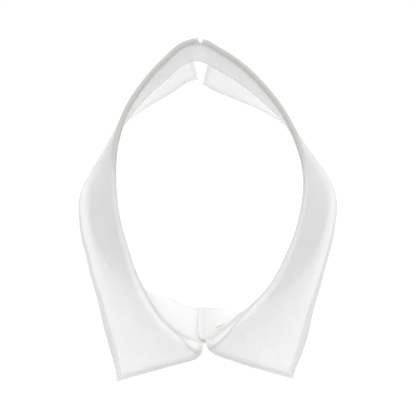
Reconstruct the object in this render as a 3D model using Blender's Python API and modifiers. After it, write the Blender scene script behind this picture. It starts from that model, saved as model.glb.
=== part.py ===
"""A detachable shirt collar, buttoned and standing by itself as a ring.

A band, the stand, goes round the neck and its ends overlap at the centre front. The leaf is sewn to the
stand's top edge, rolls over outwards and falls to the table, in two halves that part at the centre back.
The button sits on the overlap, at the front of the stand.

Metres, +Z up. The wearer faces -Y, so the wearer's right is at -X. The collar rests on z = 0 on the
leaf's hem, and the origin is under the middle of its box.

Every wall is worked out from one table of upright sections round the neck. The leaf's length isn't given:
each section of it stands on the table, so the seam's height and the leaf's leans give its length.
"""

import bmesh
import bpy
import numpy as np
from mathutils import Matrix

# Cloth
WALL = 0.0010
SEAM_GAP = 0.0003
STAND_HEIGHT = 0.027
LEAF_RISE = 0.0010
STEPS_ALONG = 60

# The neck ring is given by bearings about a point behind the middle of the collar
RING_MIDDLE = np.array([-0.0017, 0.008])
CENTRE_BACK = -1.6
CENTRE_FRONT = 180.0

# The leaf turns from the ring's outward direction to its own heading between these shares of the roll
# and of the fall
TURN_FROM_ROLL = 0.35
TURN_TO_FALL = 0.15

# The gap between the leaf's halves: half its width at distances along the leaf, at the back and at the front
BACK_GAP_AT = (0.0, 0.008, 0.030, 0.052)
BACK_GAP_HALF = (0.0006, 0.0015, 0.0031, 0.0027)
FRONT_GAP_AT = (0.0, 0.003, 0.009, 0.035)
FRONT_GAP_HALF = (0.0004, 0.0007, 0.0024, 0.0004)

# The stand's ends: how far each goes past the centre front, and where they start to part into two layers
OUTER_TAB = 0.0068
INNER_TAB = 0.0036
TAB_CORNER = 0.005
TAB_CUT_BACK = 0.0022
LAYER_OFFSET = (WALL + SEAM_GAP) / 2
LAYER_FROM = 162.0
LAYER_TO = 174.0

# The button on the stand's overlap
BUTTON_RADIUS = 0.005
BUTTON_THICKNESS = 0.0022
BUTTON_RIM = 0.0007
BUTTON_DISH_RADIUS = 0.0034
BUTTON_DISH_DEPTH = 0.0006
BUTTON_HOLE_RADIUS = 0.0007
BUTTON_HOLE_SPACING = 0.0024
BUTTON_BEARING = -181.8
BUTTON_DOWN = 0.0135

# Grid sizes
LEAF_COLUMNS = 43
ROLL_ROWS = 7
FALL_ROWS = 9
STAND_COLUMNS = 85
STAND_ROWS = 6

# One row for each upright section, from the wearer's right at the front, round the back, to the left.
# bearing: degrees from the centre back, clockwise from above. radius: of the neck seam from RING_MIDDLE.
# height: of the seam above the table. stand_lean: how far the stand's foot is outside its top, in degrees.
# stand_heading and leaf_heading: the bearings along which the stand leans and the leaf falls. lean_top and
# lean_hem: the leaf's outward lean below the roll and at the hem, in degrees. roll: the roll's radius.
SECTION_COLUMNS = (
    "bearing",
    "radius",
    "height",
    "stand_lean",
    "stand_heading",
    "leaf_heading",
    "lean_top",
    "lean_hem",
    "roll",
)
SECTIONS = np.array(
    [
        (-180, 0.0736, 0.0330, -42, -180, -101, 53, 53, 0.0025),
        (-165, 0.0682, 0.0375, -32, -167, -90, 38, 32, 0.0022),
        (-150, 0.0574, 0.0400, -5, -140, -84, 32, 15, 0.0018),
        (-135, 0.0492, 0.0403, 20, -112, -82, 33, 9, 0.0014),
        (-115, 0.0439, 0.0406, 29, -102, -82, 34, 6, 0.0011),
        (-90, 0.0420, 0.0413, 29, -91, -81, 33, 2, 0.0010),
        (-60, 0.0457, 0.0433, 12, -72, -72, 13, 5, 0.0009),
        (-45, 0.0498, 0.0437, 6, -63, -63, 7, 6, 0.0008),
        (-30, 0.0547, 0.0440, 3, -52, -52, 6, -13, 0.0008),
        (-18, 0.0603, 0.0441, 0, -40, -40, 6, -30, 0.0008),
        (-8, 0.0661, 0.0441, 0, -22, -22, 6, -36, 0.0008),
        (-4, 0.0670, 0.0441, 0, -18, -18, 6, -37, 0.0008),
        (1, 0.0659, 0.0441, -1, 20, 20, 5, -41, 0.0008),
        (5, 0.0635, 0.0441, -1, 23, 23, 5, -41, 0.0008),
        (15, 0.0588, 0.0441, 0, 36, 36, 6, -36, 0.0008),
        (30, 0.0530, 0.0441, 3, 48, 48, 6, -14, 0.0008),
        (45, 0.0495, 0.0437, 7, 58, 57, 8, 4, 0.0008),
        (60, 0.0473, 0.0433, 10, 66, 66, 11, 9, 0.0009),
        (90, 0.0469, 0.0415, 26, 88, 77, 31, 0, 0.0010),
        (115, 0.0484, 0.0409, 26, 106, 80, 32, 4, 0.0011),
        (135, 0.0526, 0.0406, 19, 117, 83, 32, 8, 0.0014),
        (150, 0.0583, 0.0398, 5, 140, 89, 33, 17, 0.0018),
        (165, 0.0645, 0.0375, -10, 167, 95, 40, 37, 0.0022),
        (180, 0.0736, 0.0330, -42, 180, 101, 53, 53, 0.0025),
    ]
)
# The stand's ends lie over each other, so these columns run level into the centre front
LEVEL_AT_FRONT = ("radius", "height", "stand_lean")


def smooth_step(x):
    """0 below 0, 1 above 1, and an even S between."""
    x = np.clip(x, 0.0, 1.0)
    return x * x * (3.0 - 2.0 * x)


def other_end(bearing):
    """The same place of the ring as a bearing from -180 to 180, so that both layers of the overlap lean alike."""
    return np.where(np.abs(bearing) > CENTRE_FRONT, bearing - np.sign(bearing) * 360, bearing)


def section(column, bearing):
    """A column of SECTIONS at any bearing, by a smooth cubic through the rows."""
    knots = SECTIONS[:, 0]
    values = SECTIONS[:, SECTION_COLUMNS.index(column)]
    bearing = other_end(bearing)
    slopes = np.gradient(values, knots)
    if column in LEVEL_AT_FRONT:
        slopes[[0, -1]] = 0.0
    k = np.clip(np.searchsorted(knots, bearing) - 1, 0, len(knots) - 2)
    span = knots[k + 1] - knots[k]
    t = (bearing - knots[k]) / span
    return (
        (2 * t**3 - 3 * t**2 + 1) * values[k]
        + (t**3 - 2 * t**2 + t) * span * slopes[k]
        + (3 * t**2 - 2 * t**3) * values[k + 1]
        + (t**3 - t**2) * span * slopes[k + 1]
    )


def ring(bearing):
    """The neck seam in plan."""
    angle = np.radians(bearing)
    away = np.stack([np.sin(angle), np.cos(angle)], -1)
    return RING_MIDDLE + section("radius", bearing)[..., None] * away


def level(bearing):
    """A level unit direction for a bearing."""
    angle = np.radians(bearing)
    return np.stack([np.sin(angle), np.cos(angle), np.zeros_like(angle)], -1)


def layer_shift(bearing):
    """How far the wall moves along its outward facing near the front, where the right end covers the left."""
    start = smooth_step((-LAYER_FROM - bearing) / (LAYER_TO - LAYER_FROM))
    end = smooth_step((bearing - LAYER_FROM) / (LAYER_TO - LAYER_FROM))
    return LAYER_OFFSET * (start - end)


def leaf_stretches(bearing):
    """The lengths of the leaf's roll and fall. The fall is as long as it takes to reach the table: the height
    to go down, over the mean of the lean's cosine. The lean goes from lean_top to lean_hem with the square
    of the share of the fall."""
    stand, top, hem = (np.radians(section(c, bearing)) for c in ("stand_lean", "lean_top", "lean_hem"))
    roll = section("roll", bearing)
    climb = LEAF_RISE * np.cos(stand) + roll * (np.sin(top) + np.sin(stand))
    share = (np.arange(STEPS_ALONG) + 0.5) / STEPS_ALONG
    mean_cosine = np.cos(top[..., None] + (hem - top)[..., None] * share**2).mean(-1)
    return roll * (np.pi - top + stand), (section("height", bearing) + climb) / mean_cosine


def leaf_path(bearing, distance):
    """From the neck seam, distance along the leaf: up, over the roll and down the fall. The slope turns
    evenly round the roll and then goes to the hem's with the square of the share; its sum is the offset."""
    arc, fall = (length[..., None] for length in leaf_stretches(bearing))
    rise = np.radians(-section("stand_lean", bearing))[..., None]
    top = np.pi - np.radians(section("lean_top", bearing))[..., None]
    hem = np.pi - np.radians(section("lean_hem", bearing))[..., None]
    step = (np.arange(STEPS_ALONG) + 0.5) / STEPS_ALONG
    rolled = distance[..., None] * step - LEAF_RISE
    slope = rise + (top - rise) * np.clip(rolled / arc, 0.0, 1.0)
    slope += (hem - top) * np.clip((rolled - arc) / fall, 0.0, None) ** 2
    turn = smooth_step((rolled - TURN_FROM_ROLL * arc) / ((1 - TURN_FROM_ROLL) * arc + TURN_TO_FALL * fall))
    start = section("stand_heading", bearing)[..., None]
    heading = start + turn * (section("leaf_heading", bearing)[..., None] - start)
    move = np.sin(slope)[..., None] * level(heading)
    move[..., 2] = np.cos(slope)
    return move.sum(-2) * (distance / STEPS_ALONG)[..., None]


def stand_slope(bearing):
    """The unit direction down the leaning stand."""
    lean = np.radians(section("stand_lean", bearing))
    slope = np.sin(lean)[..., None] * level(section("stand_heading", bearing))
    slope[..., 2] = -np.cos(lean)
    return slope


def single_stand(bearing, down):
    """A point down below the seam along the leaning stand, before its ends part into two layers."""
    top = np.concatenate([ring(bearing), section("height", bearing)[..., None]], -1)
    return top + down[..., None] * stand_slope(bearing)


def facing(bearing, down):
    """The unit direction out of the stand, at right angles to it."""
    along = single_stand(bearing + 0.5, down) - single_stand(bearing - 0.5, down)
    out = np.cross(along, stand_slope(bearing))
    return out / np.linalg.norm(out, axis=-1, keepdims=True)


def stand_point(bearing, down):
    """A point of the stand, down below the neck seam. Near the front it moves out or in, into its layer."""
    return single_stand(bearing, down) + layer_shift(bearing)[..., None] * facing(bearing, down)


def leaf_point(bearing, distance):
    """A point of the leaf, at a distance along it from the neck seam."""
    return stand_point(bearing, 0 * distance) + leaf_path(bearing, distance)


def degrees_for(length, bearing):
    """The change of bearing that moves a point of the ring by length."""
    along = ring(bearing + 0.5) - ring(bearing - 0.5)
    return length / np.hypot(along[..., 0], along[..., 1])


def grid_normals(points):
    across = np.gradient(points, axis=0)
    down = np.gradient(points, axis=1)
    normal = np.cross(across, down)
    return normal / np.linalg.norm(normal, axis=-1, keepdims=True)


def cloth_wall(name, points, rests=False):
    """A closed wall round a grid of middle points: two skins half a wall to each side, and the four rims.
    Where it rests, both skins slide along the cloth to the table, so the last rim lies flat on it."""
    normal = grid_normals(points)
    skins = [points + side * WALL / 2 * normal for side in (1, -1)]
    if rests:
        last = points[:, -1] - points[:, -2]
        for skin in skins:
            skin[:, -1] -= last * (skin[:, -1, 2] / last[:, 2])[:, None]
            skin[:, -1, 2] = 0.0
    columns, rows = points.shape[:2]
    number = np.arange(2 * columns * rows).reshape(2, columns, rows)

    def quads(a):
        return np.stack([a[:-1, :-1], a[1:, :-1], a[1:, 1:], a[:-1, 1:]], -1).reshape(-1, 4)

    faces = [quads(number[0]), quads(number[1])[:, ::-1]]
    for edge in (number[:, :, 0], number[:, :, -1], number[:, 0, :], number[:, -1, :]):
        faces.append(quads(edge))
    mesh = bpy.data.meshes.new(name)
    mesh.from_pydata(np.concatenate([s.reshape(-1, 3) for s in skins]).tolist(), [], np.concatenate(faces).tolist())
    tidy = bmesh.new()
    tidy.from_mesh(mesh)
    bmesh.ops.triangulate(tidy, faces=tidy.faces, quad_method="SHORT_EDGE")
    bmesh.ops.recalc_face_normals(tidy, faces=tidy.faces)
    tidy.to_mesh(mesh)
    tidy.free()
    mesh.shade_smooth()
    mesh.set_sharp_from_angle(angle=np.radians(50))
    return bpy.data.objects.new(name, mesh)


def make_leaf(name, front):
    """Half of the leaf, between the centre back and the front at bearing -180 or 180."""
    side = np.sign(front)
    share = np.linspace(0.0, 1.0, LEAF_COLUMNS)[:, None]
    down = np.linspace(0.0, 1.0, FALL_ROWS + 1)
    roll_down = np.linspace(0.0, 1.0, ROLL_ROWS + 1)

    # Distances along the leaf at which the rows lie, for each bearing
    def rows_at(bearing):
        arc, fall = (length[..., None] for length in leaf_stretches(bearing))
        return np.concatenate([0 * arc, LEAF_RISE + arc * roll_down, LEAF_RISE + arc + fall * down[1:]], -1)

    front_row = rows_at(np.array([front * 1.0]))[0]
    back_row = rows_at(np.array([CENTRE_BACK]))[0]
    back_gap = np.interp(back_row, BACK_GAP_AT, BACK_GAP_HALF)
    back_edge = CENTRE_BACK + side * degrees_for(back_gap, CENTRE_BACK)
    front_gap = np.interp(front_row, FRONT_GAP_AT, FRONT_GAP_HALF)
    front_edge = front - side * degrees_for(front_gap, front * 1.0)
    bearing = back_edge + share * (front_edge - back_edge)
    distance = np.stack([rows_at(bearing[:, k])[:, k] for k in range(bearing.shape[1])], -1)
    return cloth_wall(name, leaf_point(bearing, distance), rests=True)


def make_stand():
    """The band. Its ends go past the centre front and lie over each other, with round upper corners."""
    down = np.linspace(SEAM_GAP, STAND_HEIGHT, STAND_ROWS + 1)
    corner = TAB_CUT_BACK * np.clip(1.0 - down / TAB_CORNER, 0.0, 1.0) ** 2
    start = -CENTRE_FRONT - degrees_for(OUTER_TAB - corner, -CENTRE_FRONT)
    end = CENTRE_FRONT + degrees_for(INNER_TAB - corner, CENTRE_FRONT)
    share = np.linspace(0.0, 1.0, STAND_COLUMNS)[:, None]
    bearing = start + share * (end - start)
    return cloth_wall("stand", stand_point(bearing, down + np.zeros_like(bearing)))


def add_cylinder(name, radius, depth, vertices):
    bpy.ops.mesh.primitive_cylinder_add(vertices=vertices, radius=radius, depth=depth)
    piece = bpy.context.object
    piece.name = name
    return piece


def make_button(cutters):
    """A four-hole button with a rounded rim and a dished middle, flat against the overlap's outer face."""
    button = add_cylinder("button", BUTTON_RADIUS, BUTTON_THICKNESS, 32)
    rim = button.modifiers.new("rim", "BEVEL")
    rim.width = BUTTON_RIM
    rim.segments = 2
    rim.limit_method = "ANGLE"
    dish = add_cylinder("button_dish", BUTTON_DISH_RADIUS, BUTTON_THICKNESS, 24)
    dish.location.z = BUTTON_THICKNESS - BUTTON_DISH_DEPTH
    tools = [dish]
    for k in range(4):
        angle = np.pi / 4 + k * np.pi / 2
        hole = add_cylinder(f"button_hole_{k}", BUTTON_HOLE_RADIUS, 3 * BUTTON_THICKNESS, 8)
        hole.location.x = BUTTON_HOLE_SPACING / np.sqrt(2) * np.cos(angle)
        hole.location.y = BUTTON_HOLE_SPACING / np.sqrt(2) * np.sin(angle)
        tools.append(hole)
    for tool in tools:
        cut = button.modifiers.new(tool.name, "BOOLEAN")
        cut.operation = "DIFFERENCE"
        cut.object = tool
        tool.hide_render = True
        tool.display_type = "WIRE"
        tool.parent = button
        move_to(tool, cutters)
    return button


def seat_button(button):
    """Lays the button's back on the outer layer, with its front facing away from the neck."""
    bearing = np.array([BUTTON_BEARING])
    step = 0.2
    here = stand_point(bearing, np.array([BUTTON_DOWN]))[0]
    across = stand_point(bearing + step, np.array([BUTTON_DOWN]))[0] - here
    across /= np.linalg.norm(across)
    down = stand_point(bearing, np.array([BUTTON_DOWN + 0.001]))[0] - here
    down -= across * (down @ across)
    down /= np.linalg.norm(down)
    out = np.cross(across, down)
    if out[1] > 0:
        out = -out
    matrix = np.eye(4)
    matrix[:3, 0] = np.cross(down, out)
    matrix[:3, 1] = down
    matrix[:3, 2] = out
    matrix[:3, 3] = here + out * (WALL / 2 + SEAM_GAP + BUTTON_THICKNESS / 2)
    button.matrix_world = Matrix(matrix.tolist())


def make_material(name, colour, roughness, coat=0.0):
    material = bpy.data.materials.new(name)
    material.use_nodes = True
    shader = material.node_tree.nodes["Principled BSDF"]
    shader.inputs["Base Color"].default_value = (*colour, 1.0)
    shader.inputs["Roughness"].default_value = roughness
    shader.inputs["Coat Weight"].default_value = coat
    return material


def move_to(piece, collection):
    for old in list(piece.users_collection):
        old.objects.unlink(piece)
    collection.objects.link(piece)


def centre_on_floor(pieces):
    """Moves the collar level, so that the middle of its box is over the origin."""
    corners = np.concatenate([[v.co[:] for v in piece.data.vertices] for piece in pieces])
    middle = (corners.min(0) + corners.max(0)) / 2
    for piece in pieces:
        shift = np.array([middle[0], middle[1], 0.0])
        for vertex in piece.data.vertices:
            vertex.co = np.array(vertex.co) - shift
    return middle


def main():
    for old in list(bpy.data.objects):
        bpy.data.objects.remove(old)
    collar = bpy.data.collections.new("detachable_collar")
    cutters = bpy.data.collections.new("cutters")
    for collection in (collar, cutters):
        bpy.context.scene.collection.children.link(collection)
    poplin = make_material("white_poplin", (0.88, 0.88, 0.87), 0.85)
    pearl = make_material("pearl_button", (0.86, 0.85, 0.82), 0.25, coat=0.3)
    cloth = [
        make_stand(),
        make_leaf("leaf_right", -CENTRE_FRONT),
        make_leaf("leaf_left", CENTRE_FRONT),
    ]
    button = make_button(cutters)
    seat_button(button)
    for piece in cloth:
        piece.data.materials.append(poplin)
        collar.objects.link(piece)
    button.data.materials.append(pearl)
    move_to(button, collar)
    middle = centre_on_floor(cloth)
    button.location.x -= middle[0]
    button.location.y -= middle[1]


main()
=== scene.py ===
# %% [markdown]
# A detachable shirt collar of white shirting, buttoned and standing on a pale table, seen from nearly
# straight above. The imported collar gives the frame: its four solids say where everything is. Here each
# plain cloth solid gets a thin shell in its place, with turned-in edges, stitching, creases and a weave.

import bpy
import numpy as np
from mathutils import Matrix


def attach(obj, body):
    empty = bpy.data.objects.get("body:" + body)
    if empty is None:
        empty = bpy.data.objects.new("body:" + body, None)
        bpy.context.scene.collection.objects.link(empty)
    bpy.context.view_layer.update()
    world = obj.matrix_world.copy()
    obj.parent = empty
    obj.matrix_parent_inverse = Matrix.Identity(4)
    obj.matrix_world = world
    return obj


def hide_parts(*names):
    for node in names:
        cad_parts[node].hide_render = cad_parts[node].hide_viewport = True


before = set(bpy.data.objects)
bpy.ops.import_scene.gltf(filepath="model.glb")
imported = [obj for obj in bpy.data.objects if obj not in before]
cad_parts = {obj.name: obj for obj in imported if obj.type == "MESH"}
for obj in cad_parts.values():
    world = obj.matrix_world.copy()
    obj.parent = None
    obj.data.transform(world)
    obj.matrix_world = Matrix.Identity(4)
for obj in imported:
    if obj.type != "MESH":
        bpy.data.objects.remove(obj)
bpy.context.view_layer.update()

# %% [markdown]
# A collar is best described as it lies on the neck: by upright sections, one for each bearing round the
# ring. Each section says where the neck seam is, how the stand leans below it, and how the leaf rolls over
# above it and falls to the table. Between the sections a smooth cubic runs, so a short table gives the
# whole shape. These are the same sizes that the solids were made from.

# %% Name the collar's sizes
STAND_HEIGHT = 0.027
LEAF_RISE = 0.0010
RING_MIDDLE = np.array([-0.0017, 0.008])
CENTRED_BY = np.array([0.0001534, 0.0015694, 0.0])
CENTRE_BACK = -1.6
CENTRE_FRONT = 180.0
TURN_FROM_ROLL = 0.35
TURN_TO_FALL = 0.15
BACK_GAP_AT = (0.0, 0.008, 0.030, 0.052)
BACK_GAP_HALF = (0.0006, 0.0015, 0.0031, 0.0027)
FRONT_GAP_AT = (0.0, 0.003, 0.0055, 0.0075, 0.009, 0.012, 0.035)
FRONT_GAP_HALF = {
    -1: (0.0004, 0.0004, 0.0006, 0.0009, 0.0008, 0.0006, 0.0003),
    1: (0.0004, 0.0008, 0.0016, 0.0023, 0.0027, 0.0027, 0.0008),
}
OUTER_TAB = 0.0068
INNER_TAB = 0.0036
TAB_CORNER = 0.005
TAB_CUT_BACK = 0.0022
LAYER_OFFSET = 0.00065
LAYER_FROM = 162.0
LAYER_TO = 174.0
BUTTON_BEARING = -181.8
BUTTON_DOWN = 0.0135
STEPS_ALONG = 60

SECTION_COLUMNS = (
    "bearing",
    "radius",
    "height",
    "stand_lean",
    "stand_heading",
    "leaf_heading",
    "lean_top",
    "lean_hem",
    "roll",
)
SECTIONS = np.array(
    [
        (-180, 0.0736, 0.0330, -42, -180, -101, 53, 53, 0.0025),
        (-165, 0.0682, 0.0375, -32, -167, -90, 38, 32, 0.0022),
        (-150, 0.0574, 0.0400, -5, -140, -84, 32, 15, 0.0018),
        (-135, 0.0492, 0.0403, 20, -112, -82, 33, 9, 0.0014),
        (-115, 0.0439, 0.0406, 29, -102, -82, 34, 6, 0.0011),
        (-90, 0.0420, 0.0413, 29, -91, -81, 33, 2, 0.0010),
        (-60, 0.0457, 0.0433, 12, -72, -72, 13, 5, 0.0009),
        (-45, 0.0498, 0.0437, 6, -63, -63, 7, 6, 0.0008),
        (-30, 0.0547, 0.0440, 3, -52, -52, 6, -13, 0.0008),
        (-18, 0.0603, 0.0441, 0, -40, -40, 6, -30, 0.0008),
        (-8, 0.0661, 0.0441, 0, -22, -22, 6, -36, 0.0008),
        (-4, 0.0670, 0.0441, 0, -18, -18, 6, -37, 0.0008),
        (1, 0.0659, 0.0441, -1, 20, 20, 5, -41, 0.0008),
        (5, 0.0635, 0.0441, -1, 23, 23, 5, -41, 0.0008),
        (15, 0.0588, 0.0441, 0, 36, 36, 6, -36, 0.0008),
        (30, 0.0530, 0.0441, 3, 48, 48, 6, -14, 0.0008),
        (45, 0.0495, 0.0437, 7, 58, 57, 8, 4, 0.0008),
        (60, 0.0473, 0.0433, 10, 66, 66, 11, 9, 0.0009),
        (90, 0.0469, 0.0415, 26, 88, 77, 31, 0, 0.0010),
        (115, 0.0484, 0.0409, 26, 106, 80, 32, 4, 0.0011),
        (135, 0.0526, 0.0406, 19, 117, 83, 32, 8, 0.0014),
        (150, 0.0583, 0.0398, 5, 140, 89, 33, 17, 0.0018),
        (165, 0.0645, 0.0375, -10, 167, 95, 40, 37, 0.0022),
        (180, 0.0736, 0.0330, -42, 180, 101, 53, 53, 0.0025),
    ]
)
LEVEL_AT_FRONT = ("radius", "height", "stand_lean")


# %% Read any section of the table
def smooth_step(x):
    """0 below 0, 1 above 1, and 3 x squared less 2 x cubed between."""
    x = np.clip(x, 0.0, 1.0)
    return x * x * (3.0 - 2.0 * x)


def section(column, bearing):
    """A column of SECTIONS at any bearing: on each stretch, the cubic with the rows' values and slopes at its
    ends. Bearings past the centre front are read from the other end, because the two layers lean alike."""
    knots = SECTIONS[:, 0]
    values = SECTIONS[:, SECTION_COLUMNS.index(column)]
    bearing = np.where(np.abs(bearing) > CENTRE_FRONT, bearing - np.sign(bearing) * 360, bearing)
    slopes = np.gradient(values, knots)
    if column in LEVEL_AT_FRONT:
        slopes[[0, -1]] = 0.0
    k = np.clip(np.searchsorted(knots, bearing) - 1, 0, len(knots) - 2)
    span = knots[k + 1] - knots[k]
    t = (bearing - knots[k]) / span
    return (
        (2 * t**3 - 3 * t**2 + 1) * values[k]
        + (t**3 - 2 * t**2 + t) * span * slopes[k]
        + (3 * t**2 - 2 * t**3) * values[k + 1]
        + (t**3 - t**2) * span * slopes[k + 1]
    )


def level(bearing):
    """The level direction of a bearing: its sine along X and its cosine along Y."""
    angle = np.radians(bearing)
    return np.stack([np.sin(angle), np.cos(angle), np.zeros_like(angle)], -1)


# %% [markdown]
# The stand is a straight-sided band in each section, so a point of it is the neck seam's point plus a
# length down a leaning line. At the centre front one end lies over the other, and each moves half a cloth's
# thickness off the shared surface, along its normal, to become a layer of its own.


# %% Work out the stand
def stand_slope(bearing):
    """The unit direction down the stand: the lean's sine outwards and its cosine down."""
    lean = np.radians(section("stand_lean", bearing))
    slope = np.sin(lean)[..., None] * level(section("stand_heading", bearing))
    slope[..., 2] = -np.cos(lean)
    return slope


def single_stand(bearing, down):
    """The neck seam's point at a bearing, its radius out from RING_MIDDLE and its height up, plus down times
    the stand's slope."""
    top = section("radius", bearing)[..., None] * level(bearing)
    top[..., :2] += RING_MIDDLE
    top[..., 2] = section("height", bearing)
    return top + down[..., None] * stand_slope(bearing) + CENTRED_BY


def stand_point(bearing, down):
    """A point of the stand. Its two ends move apart along the cross product of the directions along and down
    it, outwards on the wearer's right and inwards on the left."""
    along = single_stand(bearing + 0.5, down) - single_stand(bearing - 0.5, down)
    out = np.cross(along, stand_slope(bearing))
    out /= np.linalg.norm(out, axis=-1, keepdims=True)
    width = LAYER_TO - LAYER_FROM
    layer = smooth_step((-LAYER_FROM - bearing) / width) - smooth_step((bearing - LAYER_FROM) / width)
    return single_stand(bearing, down) + LAYER_OFFSET * layer[..., None] * out


# %% [markdown]
# The leaf is one strip of cloth that goes up out of the seam, turns over a small roll and falls to the
# table. Walking along it in short steps and summing them gives its offset from the seam: the slope turns
# evenly round the roll, and then eases from its lean under the roll to its lean at the hem.


# %% Work out the leaf
def leaf_stretches(bearing):
    """The lengths of the roll and of the fall. The roll is its radius times the angle it turns. The fall is
    the height to go down over the mean of the cosine of the lean, so that the hem comes to the table."""
    stand, top, hem = (np.radians(section(c, bearing)) for c in ("stand_lean", "lean_top", "lean_hem"))
    roll = section("roll", bearing)
    climb = LEAF_RISE * np.cos(stand) + roll * (np.sin(top) + np.sin(stand))
    share = (np.arange(STEPS_ALONG) + 0.5) / STEPS_ALONG
    mean_cosine = np.cos(top[..., None] + (hem - top)[..., None] * share**2).mean(-1)
    return roll * (np.pi - top + stand), (section("height", bearing) + climb) / mean_cosine


def leaf_point(bearing, distance):
    """A point of the leaf, at a distance along it from the seam: the seam's point plus the sum of the steps."""
    arc, fall = (length[..., None] for length in leaf_stretches(bearing))
    rise = np.radians(-section("stand_lean", bearing))[..., None]
    top = np.pi - np.radians(section("lean_top", bearing))[..., None]
    hem = np.pi - np.radians(section("lean_hem", bearing))[..., None]
    step = (np.arange(STEPS_ALONG) + 0.5) / STEPS_ALONG
    rolled = distance[..., None] * step - LEAF_RISE
    slope = rise + (top - rise) * np.clip(rolled / arc, 0.0, 1.0)
    slope += (hem - top) * np.clip((rolled - arc) / fall, 0.0, None) ** 2
    turn = smooth_step((rolled - TURN_FROM_ROLL * arc) / ((1 - TURN_FROM_ROLL) * arc + TURN_TO_FALL * fall))
    start = section("stand_heading", bearing)[..., None]
    heading = start + turn * (section("leaf_heading", bearing)[..., None] - start)
    move = np.sin(slope)[..., None] * level(heading)
    move[..., 2] = np.cos(slope)
    return stand_point(bearing, 0 * distance) + move.sum(-2) * (distance / STEPS_ALONG)[..., None]


# %% [markdown]
# A grid over the cloth has to be fine where the detail is: at the edges, where the shirting is turned in,
# stitched and rounded. So rows and columns stand close together for 4 mm from each edge and about a
# millimetre apart elsewhere.

# %% Space the grids
EDGE_LADDER = np.array([0.0, 0.05, 0.13, 0.26, 0.45, 0.7, 0.95, 1.2, 1.45, 1.7, 1.95, 2.2, 2.45, 2.75, 3.2, 4.0]) / 1000
PITCH = 0.0011


def spaced(length, first_edge=True, last_edge=True):
    """Places from 0 to 1 along a length: the ladder at each edge that is one, and even steps between."""
    first = EDGE_LADDER if first_edge else np.array([0.0])
    last = length - (EDGE_LADDER if last_edge else np.array([0.0]))[::-1]
    steps = int(round((last[0] - first[-1]) / PITCH))
    middle = np.linspace(first[-1], last[0], steps + 1)[1:-1]
    return np.concatenate([first, middle, last]) / length


def degrees_for(length, bearing):
    """The change of bearing that moves a point of the neck seam by a length."""
    along = single_stand(bearing + 0.5, np.zeros(1)) - single_stand(bearing - 0.5, np.zeros(1))
    return length / np.linalg.norm(along[..., :2], axis=-1)


def even_bearings(start, end, share, row):
    """Bearings at shares of the length of the line that row(bearing) draws between two bearings."""
    fine = np.linspace(start, end, 400)
    steps = np.linalg.norm(np.diff(row(fine), axis=0), axis=-1)
    length = np.concatenate([[0.0], np.cumsum(steps)])
    return np.interp(share * length[-1], length, fine), length[-1]


# %% [markdown]
# Cloth is one sheet, so each piece is first a single grid of middle points. Its shell is then that grid
# pushed out to both sides by half the cloth's thickness. The thickness falls to nothing at the border on
# a quarter circle, so both skins share the border's points and every edge comes out round and closed.
# Solidify could give the wall too, but not a thickness that swells over a turned-in edge and dips under
# a stitch row.


# %% Turn a grid of points into a cloth shell
def grid_normals(points):
    """The cross product of the directions along and down the grid, one unit long."""
    normal = np.cross(np.gradient(points, axis=0), np.gradient(points, axis=1))
    return normal / np.maximum(np.linalg.norm(normal, axis=-1, keepdims=True), 1e-12)


def distance_to(points, line):
    """The distance from each point of a grid to a line of points, taken to the nearest of its straight
    pieces: the part across the piece, with the part along it clipped to the piece's ends."""
    flat = points.reshape(-1, 1, 3)
    start, step = line[:-1], np.diff(line, axis=0)
    share = np.clip(((flat - start) * step).sum(-1) / (step * step).sum(-1), 0.0, 1.0)
    gap = flat - start - share[..., None] * step
    return np.sqrt((gap * gap).sum(-1).min(1)).reshape(points.shape[:-1])


def quads(number):
    """The four corner numbers of each cell of a grid of point numbers."""
    return np.stack([number[:-1, :-1], number[1:, :-1], number[1:, 1:], number[:-1, 1:]], -1).reshape(-1, 4)


def make_shell(name, middle, half, lengths, painted):
    """A closed mesh of two skins, at middle plus and minus half along its normals. lengths gives the cloth's
    own coordinates, along and down in metres, for its UV map. painted maps attribute names to grids."""
    columns, rows = middle.shape[:2]
    normal = grid_normals(middle)
    half = half.copy()
    half[[0, -1], :] = 0.0
    half[:, [0, -1]] = 0.0
    outer = middle + half[..., None] * normal
    inner = (middle - half[..., None] * normal)[1:-1, 1:-1]
    number = np.arange(columns * rows).reshape(columns, rows)
    under = number.copy()
    under[1:-1, 1:-1] = columns * rows + np.arange((columns - 2) * (rows - 2)).reshape(columns - 2, rows - 2)
    faces = np.concatenate([quads(number), quads(under)[:, ::-1]])
    points = np.concatenate([outer.reshape(-1, 3), inner.reshape(-1, 3)])
    mesh = bpy.data.meshes.new(name)
    mesh.from_pydata(points.tolist(), [], faces.tolist())
    for label, grid in painted.items():
        values = np.concatenate([grid.reshape(-1), grid[1:-1, 1:-1].reshape(-1)])
        mesh.attributes.new(label, "FLOAT", "POINT").data.foreach_set("value", values.astype(np.float32))
    flat = np.stack(lengths, -1)
    corners = np.concatenate([flat.reshape(-1, 2), flat[1:-1, 1:-1].reshape(-1, 2)])[faces]
    corners[len(faces) // 2 :, :, 1] += 0.1
    mesh.uv_layers.new(name="cloth").data.foreach_set("uv", corners.astype(np.float32).ravel())
    mesh.shade_smooth()
    piece = bpy.data.objects.new(name, mesh)
    bpy.context.scene.collection.objects.link(piece)
    return piece


def along_and_down(middle):
    """The cloth's own coordinates of a grid of points: the lengths walked along its middle row and down
    each of its columns."""
    row = middle[:, middle.shape[1] // 2]
    along = np.concatenate([[0.0], np.cumsum(np.linalg.norm(np.diff(row, axis=0), axis=-1))])
    step = np.linalg.norm(np.diff(middle, axis=1), axis=-1)
    down = np.concatenate([np.zeros((len(middle), 1)), np.cumsum(step, axis=1)], axis=1)
    return along[:, None] + 0 * down, down
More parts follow.
